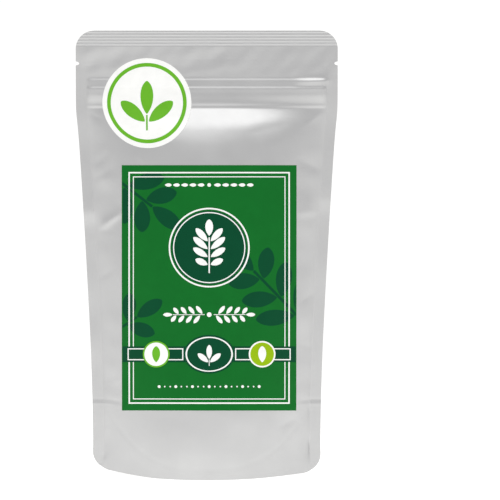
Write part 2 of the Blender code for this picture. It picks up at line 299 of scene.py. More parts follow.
def ease(value, start, end):
    """As ramp, but with soft ends."""
    t = ramp(value, start, end)
    return t * t * (3 - 2 * t)


def bulge(share):
    """Depth of the bulge as a share of its centre, at a share of the way out to the side seal."""
    return np.clip(1 - share * share, 0, 1) ** BULGE_POWER


# Film length along the bulge for a chord of 1, by the bulge's depth, and the way out by the share of the film
# used
RATIOS = np.linspace(0.0, 0.66, 133)
SHARES = np.linspace(0.0, 1.0, 1601)
FILM_SHARES = np.linspace(0.0, 1.0, 401)
STEPS = np.hypot(RATIOS[:, None] * np.diff(bulge(SHARES))[None, :], np.diff(SHARES)[None, :])
LENGTHS = np.concatenate((np.zeros((len(RATIOS), 1)), np.cumsum(STEPS, axis=1)), axis=1)
FULL = LENGTHS[:, -1]
FILM_USED = LENGTHS / FULL[:, None]
WAY_OUT = np.array([np.interp(FILM_SHARES, row, SHARES) for row in FILM_USED])


def table_at(table, ratio, share):
    """Reads a table with a row for each ratio and even columns for shares from 0 to 1."""
    last = table.shape[1] - 1
    a = np.clip(ratio / RATIOS[1], 0, len(RATIOS) - 1.001)
    b = np.clip(share * last, 0, last - 0.001)
    i, j = a.astype(int), b.astype(int)
    u, v = a - i, b - j
    return (
        table[i, j] * (1 - u) * (1 - v)
        + table[i + 1, j] * u * (1 - v)
        + table[i, j + 1] * (1 - u) * v
        + table[i + 1, j + 1] * u * v
    )


def bulging_half():
    """Half the film's width between the side seals."""
    sizes = bpy.context.scene.pouch_sizes
    return sizes.flat_width / 2 - sizes.side_seal


def section(up):
    """Film width of half the bulge, depth, ratio of depth to chord, and chord of the section at a height."""
    film = bulging_half()
    depth = smooth_through(FILLED_DEPTH, up)
    ratio = np.interp(depth / film, RATIOS / FULL, RATIOS)
    return film, depth, ratio, film / np.interp(ratio, RATIOS, FULL)


def waves(x, z, seed, kind):
    """Soft irregular waves: a sum of sines in all directions."""
    height, count, shortest, longest = kind
    draw = np.random.default_rng(seed)
    total = np.zeros_like(x)
    for _ in range(count):
        angle, phase = draw.uniform(0, 2 * math.pi, 2)
        wave = 2 * math.pi / (shortest * (longest / shortest) ** draw.uniform())
        total += np.sin(wave * (x * math.cos(angle) + z * math.sin(angle)) + phase)
    return height * total / math.sqrt(count)


def crease(x, z, start, end, width, height, skew=1.0, sharp=1.4):
    """A raised fold along a straight line that fades towards its ends; a negative height makes a valley.

    Its flank to the right of the way from start to end is wider by skew.
    """
    (x0, z0), (x1, z1) = start, end
    length = math.hypot(x1 - x0, z1 - z0)
    along = ((x - x0) * (x1 - x0) + (z - z0) * (z1 - z0)) / length**2
    off = ((x - x0) * (z1 - z0) - (z - z0) * (x1 - x0)) / length
    ends = np.clip(1 - (2 * along - 1) ** 2, 0, 1)
    flank = np.where(off > 0, width * skew, width)
    return height * ends * np.exp(-((np.abs(off) / flank) ** sharp))


# Folds pressed into the film: start, end, width, height and skew, in millimetres of the flat film
FRONT_CREASES = (
    ((-88, 188.5), (-66, 202.5), 5.5, 1.2, 0.34),
    ((-88, 187.0), (-74, 188.0), 2.0, -0.2),
    ((92, 201.8), (71, 200.6), 3.2, 0.75, 2.6),
    ((-56, 249), (-47, 239), 2.2, 0.4),
    ((-90, 236), (-76, 248), 3.4, -0.3),
    ((90.5, 30), (92.5, 9), 1.3, -0.45),
    ((91, 18), (98, 5), 1.3, -0.45),
    ((-88, 33), (-89.5, 9), 1.5, -0.3),
    ((-88, 15), (-97, 3), 1.5, -0.3),
    ((-90, 57.5), (-68, 55.5), 1.6, -0.2),
    ((78, 60.5), (91, 53.5), 2.6, -0.12),
    ((89, 60), (91.5, 42), 1.4, -0.3),
    ((58, 37.5), (80, 43.5), 4.2, -0.35),
    ((-86, 69), (-68, 75), 3.4, 0.2),
    ((72, 78), (84, 72), 3.4, 0.15),
    ((-92, 150), (-76, 158), 3.2, -0.25),
    ((92, 140), (76, 131), 3.4, -0.3),
    ((92, 96), (79, 101), 3.0, -0.25),
    ((92, 232), (70, 243), 4.2, -0.4),
    ((-92, 226), (-72, 236), 4.0, -0.35),
    ((-91, 277.5), (-74, 268), 3.0, -0.25),
    ((90, 279), (72, 266), 3.0, 0.4),
    ((-64, 268), (-30, 259), 5.0, -0.5),
    ((30, 262), (66, 270), 5.0, -0.5),
    ((66, 301.0), (95, 302.0), 3.0, 1.05),
)
BACK_CREASES = (
    ((-92, 205), (-66, 216), 3.4, -0.9),
    ((-92, 198), (-70, 207), 2.4, 0.8),
    ((-92, 188), (-76, 181), 3.0, -0.7),
    ((92, 178), (70, 191), 3.4, -0.9),
    ((92, 172), (74, 184), 2.4, 0.7),
    ((92, 214), (78, 208), 2.6, 0.6),
    ((92, 120), (74, 110), 3.2, -0.7),
    ((-92, 128), (-74, 139), 3.2, -0.7),
    ((-92, 82), (-78, 75), 3.0, -0.6),
    ((92, 74), (78, 81), 3.0, -0.6),
    ((-91, 280), (-66, 266), 3.0, 0.9),
    ((91, 282), (70, 269), 2.6, 0.9),
    ((-40, 263), (10, 257), 6.0, -0.7),
    ((34, 259), (66, 269), 5.0, -0.6),
    ((-24, 236), (-44, 222), 5.0, -0.6),
    ((22, 38), (44, 26), 5.0, -0.5),
)


def web_seal(flat):
    """Height up to which the bottom web is sealed to a panel: low in the middle, high at the side seals."""
    share = np.clip(np.abs(flat) / bulging_half(), 0, 1)
    return WEB_SEAL_CENTRE + (WEB_SEAL_SIDE - WEB_SEAL_CENTRE) * share**WEB_SEAL_POWER


def relief(flat, up, front):
    """How far the film stands out from the smooth bulge: waves, folds, and the pressed edge of the web."""
    seed, creases = (11, FRONT_CREASES) if front else (23, BACK_CREASES)
    off_seal = ease(np.abs(flat), *BODY_SIDE)
    body = off_seal * ease(up, *BODY_TOP) * ease(up, *BODY_FOOT)
    out = waves(flat, up, seed, BODY_WAVES) * body
    near_seam = ease(np.abs(flat), *SEAM_SIDE) * ease(up, *SEAM_TOP) * ease(up, *SEAM_FOOT)
    out += waves(flat * 0.5, up, seed + 1, SEAM_WAVES) * near_seam * off_seal**0.5
    for start, end, width, height, *skew in creases:
        start, end = [tuple(v / 1000 for v in point) for point in (start, end)]
        out += crease(flat, up, start, end, width / 1000, height / 1000, *skew)
    pressed = np.exp(-(((up - web_seal(flat)) / 0.0016) ** 2))
    out -= WEB_PRESS * pressed * ease(np.abs(flat), *WEB_PRESS_SIDE)
    return np.where(out < 0, DEEPEST * np.tanh(out / DEEPEST), out)


def sway(x, up):
    """How far both sealed layers bend to the back together: in the head, its ribs, and the side seals."""
    out = HEAD_BOW * np.sin(2 * math.pi * x / HEAD_BOW_LENGTH) * ease(up, *BOW_FOOT)
    in_head = ease(up, *HEAD_FOOT) * (1 - 0.6 * ease(up, *HEAD_CALM))
    out += waves(x, up, 5, HEAD_WAVES) * in_head
    in_ribs = ease(up, SEAL_BOTTOM - 0.0003, SEAL_BOTTOM + 0.0006) * ease(up, *RIBS_TOP)
    out += RIB_HEIGHT * in_ribs * np.sin(2 * math.pi * (up - SEAL_BOTTOM) / RIB_PITCH)
    in_side_seal = ease(np.abs(x), *SIDE_SEAL_SIDE) * ease(up, *SIDE_SEAL_TOP) * ease(up, *SIDE_SEAL_FOOT)
    out += waves(np.sign(x) * 0.3, up, 8, SIDE_WAVES) * in_side_seal
    fold = np.exp(-np.abs(up - FOLD_RIDGE) / 0.0007) - 0.8 * np.exp(-np.abs(up - FOLD_VALLEY) / 0.0009)
    out += FOLD_LINE * fold * ease(np.abs(x), *FOLD_SIDE)
    for side, place, size in SEAL_BUMPS:
        off = up - place
        bump = np.exp(-((off / np.where(off < 0, BUMP_BELOW, BUMP_ABOVE)) ** 2))
        out -= size * bump * ease(side * x, *BUMP_SIDE)
    return out


def corner_lift(flat, up, front=True):
    """How far the bottom corners are off the ground; the right one, as seen from the front, is lower."""
    right = ease(flat if front else -flat, 0.0, 0.05)
    lift = CORNER_LIFT * (1 - (1 - LIFT_RIGHT) * right)
    return lift * ramp(np.abs(flat), LIFT_START, LIFT_END) ** LIFT_POWER * ramp(up, LIFT_REACH, 0.0)


def film_face(flat, up, front, bridge=0.0):
    """Inner face of a panel in space.

    The back is turned half round, so that both panels are drawn as seen from outside.
    A stiffer sheet that lies over the zip bridges its steps: bridge is how far its slopes are drawn out.
    """
    out = np.abs(flat)
    film, depth, ratio, chord = section(up)
    share = table_at(WAY_OUT, ratio, np.clip(out / film, 0, 1))
    across = np.where(out >= film, chord + out - film, chord * share)

    plateau = ease(across, chord, chord - ZIP_END)
    over_flange = ease(up, ZIP_BOTTOM - FLANGE_BELOW - bridge, ZIP_BOTTOM)
    over_flange *= ease(up, ZIP_TOP + FLANGE_OVER + bridge, ZIP_TOP - FLANGE_UNDER)
    off = np.abs(up - ZIP_PROFILE) - PROFILE_HALF_HEIGHT
    above = EDGE_SHARE * ease(off, PROFILE_EDGE + bridge, 0.0)
    above += (1 - EDGE_SHARE) * ease(off, PROFILE_REACH + bridge, 0.0)
    below = ease(off, PROFILE_BELOW + 2 * bridge, bridge / 2)
    over_profile = np.where(up > ZIP_PROFILE, above, below)
    zip_room = FLANGE_FACE * over_flange + (PROFILE_FACE - FLANGE_FACE) * over_profile
    film_room = bpy.context.scene.pouch_sizes.film + CONTACT
    web_room = film_room * ramp(up, GUSSET_LEAF + 0.0008, GUSSET_LEAF) * ramp(share, 0.8, 1.0)
    y = CONTACT / 2 + web_room + depth * bulge(share) + (zip_room + CLEARANCE) * plateau
    y += relief(flat, up, front)
    y = np.maximum(y, CONTACT / 2 + web_room)

    x = np.sign(flat) * across * (1 if front else -1)
    return np.stack((x, (-y if front else y) + sway(x, up), up + corner_lift(flat, up, front)), axis=1)


def flat_from_seen(x, z):
    """Where on the flat film a point lies that is seen at a place from the front, a little from above.

    What is drawn so keeps straight edges and round circles on the filled pouch.
    """
    up = z
    slope = SEEN_SLOPE - (z - SEEN_HEIGHT) / SEEN_DISTANCE
    for _ in range(5):
        film, depth, ratio, chord = section(up)
        share = np.abs(x) / chord
        flat = np.sign(x) * film * np.where(share < 1, table_at(FILM_USED, ratio, share), share)
        up = z + depth * bulge(np.minimum(share, 1)) * slope - corner_lift(flat, up)
    return flat, up


def on_film(points, front=True, seen=False, bridge=0.0):
    """Moves flat points, (across, minus the height above the film, up), to the filled film."""
    flat, height, up = points[:, 0], -points[:, 1], points[:, 2]
    if seen:
        flat, up = flat_from_seen(flat, up)
    step = 0.0003
    across = film_face(flat + step, up, front, bridge) - film_face(flat - step, up, front, bridge)
    upwards = film_face(flat, up + step, front, bridge) - film_face(flat, up - step, front, bridge)
    outwards = np.cross(across, upwards)
    outwards /= np.linalg.norm(outwards, axis=1, keepdims=True)
    return film_face(flat, up, front, bridge) + outwards * height[:, None]


# Modelling


def clear_selection():
    if bpy.context.object and bpy.context.object.mode != "OBJECT":
        bpy.ops.object.mode_set(mode="OBJECT")
    bpy.ops.object.select_all(action="DESELECT")


def only(obj):
    """Selects one object and makes it active."""
    clear_selection()
    obj.select_set(True)
    bpy.context.view_layer.objects.active = obj
    return obj


def named(name):
    """Names the object that an operator just added, and puts its place into its mesh."""
    obj = bpy.context.object
    obj.name = obj.data.name = name
    bpy.ops.object.transform_apply(location=True, rotation=True, scale=True)
    return obj


def points_of(obj):
    flat = np.empty(len(obj.data.vertices) * 3)
    obj.data.vertices.foreach_get("co", flat)
    return flat.reshape(-1, 3)


def set_points(obj, points):
    obj.data.vertices.foreach_set("co", np.ascontiguousarray(points, dtype=np.float32).ravel())
    obj.data.update()


def apply_modifier(obj, kind, **settings):
    only(obj)
    modifier = obj.modifiers.new(kind.lower(), kind)
    for key, value in settings.items():
        setattr(modifier, key, value)
    bpy.ops.object.modifier_apply(modifier=modifier.name)


def cut_in_grid(obj, step=GRID_STEP):
    """Cuts a flat piece along lines that all pieces share, so that it can bend and its layers bend alike."""
    only(obj)
    points = points_of(obj)
    bpy.ops.object.mode_set(mode="EDIT")
    for axis in (0, 2):
        low, high = points[:, axis].min(), points[:, axis].max()
        normal = (1, 0, 0) if axis == 0 else (0, 0, 1)
        for k in range(math.ceil(low / step + 1e-6), math.floor(high / step - 1e-6) + 1):
            bpy.ops.mesh.select_all(action="SELECT")
            bpy.ops.mesh.bisect(plane_co=tuple(v * k * step for v in normal), plane_no=normal)
    bpy.ops.object.mode_set(mode="OBJECT")


def wrap(obj, lift, thickness, **how):
    """Gives a flat piece its thickness, and lays it on the film at a height."""
    apply_modifier(obj, "SOLIDIFY", thickness=thickness, offset=1.0)
    points = points_of(obj)
    points[:, 1] -= lift
    set_points(obj, on_film(points, **how))
    only(obj)
    bpy.ops.object.shade_smooth_by_angle(angle=math.radians(40))


def face_front(obj):
    """Turns the faces of a flat piece towards -Y."""
    only(obj)
    bpy.ops.object.mode_set(mode="EDIT")
    bpy.ops.mesh.select_all(action="SELECT")
    bpy.ops.mesh.normals_make_consistent(inside=False)
    bpy.ops.object.mode_set(mode="OBJECT")
    if obj.data.polygons[0].normal.y > 0:
        obj.data.flip_normals()


def join(name, objects):
    """Joins flat pieces into one."""
    clear_selection()
    for obj in objects:
        obj.select_set(True)
    bpy.context.view_layer.objects.active = objects[0]
    bpy.ops.object.join()
    obj = bpy.context.object
    obj.name = obj.data.name = name
    return obj


def dress(obj, surface, slot, *nodes):
    """Gives a piece its material and its body, and hides the solids that it stands for; slot is not used."""
    obj.data.materials.clear()
    obj.data.materials.append(surface)
    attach(obj, "root")
    if nodes:
        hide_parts(*nodes)
    return obj


def flat_disc(name, x, z, radius, sides=96):
    clear_selection()
    bpy.ops.mesh.primitive_circle_add(
        vertices=sides, radius=radius, fill_type="NGON", location=(x, 0, z), rotation=(math.pi / 2, 0, 0)
    )
    return named(name)


def flat_ring(name, x, z, outer, inner, stretch=1.0, sides=96):
    """A ring between two circles, or ovals that are wider than high by stretch."""
    clear_selection()
    placing = dict(vertices=sides, location=(x, 0, z), rotation=(math.pi / 2, 0, 0))
    bpy.ops.mesh.primitive_circle_add(radius=outer, **placing)
    obj = bpy.context.object
    bpy.ops.object.mode_set(mode="EDIT")
    bpy.ops.mesh.primitive_circle_add(radius=inner, **placing)
    bpy.ops.mesh.select_all(action="SELECT")
    bpy.ops.mesh.bridge_edge_loops()
    bpy.ops.object.mode_set(mode="OBJECT")
    obj = named(name)
    points = points_of(obj)
    points[:, 0] = x + (points[:, 0] - x) * stretch
    set_points(obj, points)
    return obj


def flat_oval(name, x, z, half_width, half_height):
    obj = flat_disc(name, x, z, half_height)
    points = points_of(obj)
    points[:, 0] = x + (points[:, 0] - x) * half_width / half_height
    set_points(obj, points)
    return obj


def flat_rectangle(name, x0, z0, x1, z1):
    clear_selection()
    bpy.ops.mesh.primitive_plane_add(
        size=1, location=((x0 + x1) / 2, 0, (z0 + z1) / 2), rotation=(math.pi / 2, 0, 0)
    )
    bpy.context.object.scale = (x1 - x0, z1 - z0, 1)
    return named(name)


def flat_frame(name, x0, z0, x1, z1, line):
    """A rectangular line, drawn inwards from its outer edge."""
    obj = flat_rectangle(name, x0, z0, x1, z1)
    bpy.ops.object.mode_set(mode="EDIT")
    bpy.ops.mesh.select_all(action="SELECT")
    bpy.ops.mesh.inset(thickness=line)
    bpy.ops.mesh.delete(type="FACE")
    bpy.ops.object.mode_set(mode="OBJECT")
    return obj


def flat_outline(name, x, z, outline):
    """A flat shape from a round one, whose edge is moved to outline(angles) around a centre."""
    obj = flat_disc(name, 0, 0, 1, sides=len(outline))
    points = points_of(obj)
    set_points(obj, np.stack((x + outline[:, 0], points[:, 1], z + outline[:, 1]), axis=1))
    return obj


def blade(name, x, z, angle, length, width, sides=28):
    """A plain pointed leaf from its foot at a place, along an angle from the upright, in degrees."""
    turn = np.arange(sides) / sides * 2 * math.pi
    along = (1 - np.cos(turn)) / 2 * length
    side = np.sin(turn) * np.abs(np.sin(turn / 2)) ** 0.6 * np.abs(np.cos(turn / 2)) ** 0.3 * width / 1.5
    a = math.radians(angle)
    outline = np.stack(
        (along * math.sin(a) + side * math.cos(a), along * math.cos(a) - side * math.sin(a)), axis=1
    )
    return flat_outline(name, x, z, outline)


def branch(name, x, z, angle, length, pairs, leaf, width):
    """A stalk with pairs of plain leaves and one at its tip, at an angle from the upright round its foot."""
    stalk = flat_rectangle(name, x - width / 12, z, x + width / 12, z + length)
    leaves = [blade(name, x, z + length + 0.0004, 0, leaf, width)]
    for n in range(pairs):
        share = (n + 0.6) / pairs
        size = leaf * (1.12 - 0.30 * share)
        for side in (-1, 1):
            foot = z + length * share - (0.0018 if side > 0 else 0.0)
            leaves.append(blade(name, x + side * (width / 12 + 0.0004), foot, side * 52, size, width))
    obj = join(name, [stalk] + leaves)
    points = points_of(obj)
    a = math.radians(angle)
    away = points[:, (0, 2)] - np.array((x, z))
    points[:, 0] = x + away[:, 0] * math.cos(a) + away[:, 1] * math.sin(a)
    points[:, 2] = z - away[:, 0] * math.sin(a) + away[:, 1] * math.cos(a)
    set_points(obj, points)
    return obj


def three_leaves(name, x, z, size):
    """Three plain leaves on a stalk, centred on a place, in a height of about one size."""
    leaves = [blade(name, x, z - 0.23 * size, 0, 0.68 * size, 0.27 * size)]
    for side in (-1, 1):
        foot = x + side * 0.043 * size
        leaves.append(blade(name, foot, z - 0.38 * size, side * 50, 0.64 * size, 0.265 * size))
    stalk = flat_rectangle(name, x - 0.017 * size, z - 0.56 * size, x + 0.017 * size, z - 0.25 * size)
    return join(name, leaves + [stalk])


def trim(obj, x0, z0, x1, z1):
    """Cuts off what reaches out of a rectangle."""
    only(obj)
    bpy.ops.object.mode_set(mode="EDIT")
    for place, normal in (
        ((x0, 0, 0), (-1, 0, 0)),
        ((x1, 0, 0), (1, 0, 0)),
        ((0, 0, z0), (0, 0, -1)),
        ((0, 0, z1), (0, 0, 1)),
    ):
        bpy.ops.mesh.select_all(action="SELECT")
        bpy.ops.mesh.bisect(plane_co=place, plane_no=normal, clear_outer=True)
    bpy.ops.object.mode_set(mode="OBJECT")
    return obj


def print_on(obj, base, surface, slot, layer=0, step=GRID_STEP, **how):
    """Prints a flat piece as a thin layer of ink over a sheet of some thickness; later layers lie higher."""
    face_front(obj)
    cut_in_grid(obj, step)
    wrap(obj, base + CONTACT + layer * (INK + CONTACT), INK, **how)
    return dress(obj, surface, slot)


# Materials


def add_node(material, kind, inputs=(), **settings):
    """Adds a node with its settings; inputs are (socket, value or output) pairs."""
    tree = material.node_tree
    node = tree.nodes.new(kind)
    for key, value in settings.items():
        setattr(node, key, value)
    for socket, value in dict(inputs).items():
        if isinstance(value, bpy.types.NodeSocket):
            tree.links.new(value, node.inputs[socket])
        else:
            node.inputs[socket].default_value = value
    return node


def start_material(name, colour, roughness, **sockets):
    """A new material with its Principled shader, whose even values are set on the shader itself."""
    material = bpy.data.materials.new(name)
    material.use_nodes = True
    shader = material.node_tree.nodes["Principled BSDF"]
    shader.inputs["Base Color"].default_value = (*colour, 1)
    shader.inputs["Roughness"].default_value = roughness
    for socket, value in sockets.items():
        shader.inputs[socket.replace("_", " ")].default_value = value
    place = add_node(material, "ShaderNodeTexCoord").outputs["Object"]
    return material, shader, place


def link(material, output, shader, socket):
    material.node_tree.links.new(output, shader.inputs[socket])


def foil_material(colour):
    """Satin metallised laminate: polyester over aluminium, reverse side polyethylene."""
    material, shader, place = start_material("satin_metallised_laminate", colour, 0.36, Metallic=1.0)
    # Slow mottling of the gloss, about 25 mm across, from handling and from uneven lamination
    mottle = add_node(
        material, "ShaderNodeTexNoise", {"Vector": place, "Scale": 40.0, "Detail": 3.0, "Roughness": 0.55}
    )
    gloss = add_node(
        material,
        "ShaderNodeMapRange",
        {"Value": mottle.outputs["Fac"], "From Min": 0.3, "From Max": 0.7, "To Min": 0.31, "To Max": 0.42},
    )
    link(material, gloss.outputs["Result"], shader, "Roughness")
    # Soft dimples about 6 mm across, where flakes press on the film from inside
    dimples = add_node(
        material, "ShaderNodeTexNoise", {"Vector": place, "Scale": 160.0, "Detail": 2.0, "Roughness": 0.5}
    )
    # Orange peel of the lamination, about 1 mm across, as coarse as shows
    peel = add_node(
        material, "ShaderNodeTexNoise", {"Vector": place, "Scale": 900.0, "Detail": 1.0, "Roughness": 0.4}
    )
    soft = add_node(
        material, "ShaderNodeBump", {"Strength": 0.5, "Distance": 0.00012, "Height": dimples.outputs["Fac"]}
    )
    fine = add_node(
        material,
        "ShaderNodeBump",
        {
            "Strength": 0.25,
            "Distance": 0.00002,
            "Height": peel.outputs["Fac"],
            "Normal": soft.outputs["Normal"],
        },
    )
    link(material, fine.outputs["Normal"], shader, "Normal")
    return material


def ink_material(name, colour, roughness=0.42):
    """Printed paper label under satin varnish: even colour, faint cloud of the print, faint grain."""
    material, shader, place = start_material(name, colour, roughness, Specular_IOR_Level=0.08)
    # Uneven inking, about 12 mm across, which lightens and darkens the colour by a few per cent
    cloud = add_node(
        material, "ShaderNodeTexNoise", {"Vector": place, "Scale": 80.0, "Detail": 3.0, "Roughness": 0.6}
    )
    strength = add_node(
        material,
        "ShaderNodeMapRange",
        {"Value": cloud.outputs["Fac"], "From Min": 0.25, "From Max": 0.75, "To Min": 0.95, "To Max": 1.04},
    )
    tone = add_node(
        material,
        "ShaderNodeMix",
        {"Factor": 1.0, "A": (*colour, 1), "B": strength.outputs["Result"]},
        data_type="RGBA",
        blend_type="MULTIPLY",
    )
    link(material, tone.outputs[2], shader, "Base Color")
    # Grain of the paper under the varnish, about 0.8 mm, as coarse as shows
    grain = add_node(
        material, "ShaderNodeTexNoise", {"Vector": place, "Scale": 1200.0, "Detail": 2.0, "Roughness": 0.5}
    )
    bump = add_node(
        material, "ShaderNodeBump", {"Strength": 0.2, "Distance": 0.00002, "Height": grain.outputs["Fac"]}
    )
    link(material, bump.outputs["Normal"], shader, "Normal")
    return material


def zip_material():
    """Extruded polyethylene: milky, with fine lines along the strip."""
    material, shader, place = start_material(
        "extruded_polyethylene", linear("#E8EAEA"), 0.38, Transmission_Weight=0.25, IOR=1.51
    )
    stretched = add_node(material, "ShaderNodeMapping", {"Vector": place, "Scale": (10.0, 2500.0, 2500.0)})
    lines = add_node(
        material, "ShaderNodeTexNoise", {"Vector": stretched.outputs["Vector"], "Scale": 1.0, "Detail": 2.0}
    )
    bump = add_node(
        material, "ShaderNodeBump", {"Strength": 0.3, "Distance": 0.00004, "Height": lines.outputs["Fac"]}
    )
    link(material, bump.outputs["Normal"], shader, "Normal")
    return material


def parsley_material():
    """Rubbed dried parsley: flakes of 2 to 4 mm in dull greens, with pale stalk pieces."""
    material, shader, place = start_material("dried_parsley_flakes", linear("#3E4F28"), 0.9)
    flakes = add_node(material, "ShaderNodeTexVoronoi", {"Vector": place, "Scale": 330.0})
    grey = add_node(material, "ShaderNodeSeparateColor", {"Color": flakes.outputs["Color"]})
    greens = add_node(material, "ShaderNodeValToRGB", {"Fac": grey.outputs["Red"]})
    ramp_points = greens.color_ramp.elements
    ramp_points[0].color = (*linear("#24351A"), 1)
    ramp_points[1].color = (*linear("#8C9461"), 1)
    middle = ramp_points.new(0.6)
    middle.color = (*linear("#4C6330"), 1)
    link(material, greens.outputs["Color"], shader, "Base Color")
    bump = add_node(
        material, "ShaderNodeBump", {"Strength": 0.8, "Distance": 0.001, "Height": flakes.outputs["Distance"]}
    )
    link(material, bump.outputs["Normal"], shader, "Normal")
    return material


def floor_material():
    """Opal light table: lit from below, most under its middle, so that shadows on it are faint."""
    material, shader, place = start_material(
        "opal_light_table",
        (0.28, 0.28, 0.28),
        0.9,
        Specular_IOR_Level=0.0,
        Emission_Color=(1, 0.997, 0.985, 1),
    )
    away = add_node(material, "ShaderNodeVectorMath", {0: place}, operation="LENGTH")
    glow = add_node(
        material,
        "ShaderNodeMapRange",
        {"Value": away.outputs["Value"], "From Min": 0.25, "From Max": 0.90, "To Min": 0.99, "To Max": 0.72},
        interpolation_type="SMOOTHSTEP",
    )
    link(material, glow.outputs["Result"], shader, "Emission Strength")
    return material


# Operators, one for each piece or group of like pieces


def panel_outline(up):
    """Half the flat width by height, with the rounded corners and the tear notches."""
    sizes = bpy.context.scene.pouch_sizes
    from_end = np.minimum(up, sizes.flat_height - up)
    radius = np.where(up < sizes.flat_height / 2, sizes.bottom_radius, sizes.corner_radius)
    drop = np.clip(radius - from_end, 0, None)
    half = sizes.flat_width / 2 - radius + np.sqrt(np.clip(radius**2 - drop**2, 0, None))
    notch = np.clip(1 - (np.abs(up - NOTCH_HEIGHT) / NOTCH_HALF_HEIGHT) ** 2, 0, 1) ** 0.6
    return half - NOTCH_DEPTH * notch


def keep_above_floor(obj):
    """Keeps the edges that the pouch stands on from going below the floor."""
    points = points_of(obj)
    points[:, 2] = np.maximum(points[:, 2], 0.0)
    set_points(obj, points)


def grid_lines(low, high, step, extra):
    """Places of grid lines from low to high, with extra ones on both sides where the film bends sharply."""
    extra = [side * place for place in extra for side in (-1, 1)]
    count = round((high - low) / step)
    regular = [low + (high - low) * i / count for i in range(count + 1)]
    kept = [v for v in regular if all(abs(v - e) > step * 0.35 for e in extra) or v in (low, high)]
    return np.array(sorted(set(kept) | set(extra)))


class POUCH_OT_add_panels(bpy.types.Operator):
    """Adds the front and the back panel: thin film with ribbed top seal, tear notches and folds"""

    bl_idname = "pouch.add_panels"
    bl_label = "Front and back panels"

    COLUMN_STEP = 0.0016
    # Extra columns, by their distance from where the side seal starts and from the rim
    SEAL_COLUMNS = (-0.0014, -0.0007, 0.0, 0.0007)
    RIM_COLUMNS = (0.0012, 0.0003)
    # Rows by height: close to the ground, then start, end and step, and at last from the ribs to the top
    GROUND_ROWS = (0.0, 0.0002, 0.0006, 0.0012, 0.002, 0.003, 0.004, 0.0052)
    ROWS = (
        (0.0066, 0.0484, 0.0016),
        (0.0484, 0.0524, 0.0004),
        (0.0530, 0.2740, 0.0016),
        (0.2740, 0.3120, 0.0006),
        (0.3120, 0.3180, 0.0003),
        (0.3184, 0.3272, 0.0012),
    )
    RIB_ROWS_START = 0.3275
    RIB_ROWS = 42

    def execute(self, context):
        half = context.scene.pouch_sizes.flat_width / 2
        edges = [bulging_half() + off for off in self.SEAL_COLUMNS] + [half - off for off in self.RIM_COLUMNS]
        columns = grid_lines(-half, half, self.COLUMN_STEP, edges)
        runs = [np.arange(*run) for run in self.ROWS]
        ribs = np.linspace(self.RIB_ROWS_START, context.scene.pouch_sizes.flat_height, self.RIB_ROWS)
        rows = np.unique(np.concatenate((self.GROUND_ROWS, *runs, ribs)).round(6))
        foil = foil_material(context.scene.pouch_colours.foil)
        for front in (True, False):
            self.panel(columns, rows, front, foil)
        return {"FINISHED"}

    def panel(self, columns, rows, front, foil):
        """One panel from an even grid, whose lines are moved to the columns and rows."""
        clear_selection()
        bpy.ops.mesh.primitive_grid_add(
            x_subdivisions=len(columns) - 1,
            y_subdivisions=len(rows) - 1,
            size=2,
            rotation=(math.pi / 2, 0, 0),
        )
        obj = named("front_film" if front else "back_film")
        points = points_of(obj)
        i = np.round((points[:, 0] + 1) / 2 * (len(columns) - 1)).astype(int)
        j = np.round((points[:, 2] + 1) / 2 * (len(rows) - 1)).astype(int)
        sizes = bpy.context.scene.pouch_sizes
        points[:, 0] = columns[i] * panel_outline(rows[j]) / (sizes.flat_width / 2)
        points[:, 2] = rows[j]
        set_points(obj, points)
        face_front(obj)
        wrap(obj, 0.0, sizes.film, front=front)
        keep_above_floor(obj)
        dress(obj, foil, "foil_laminate", "front_panel" if front else "back_panel")


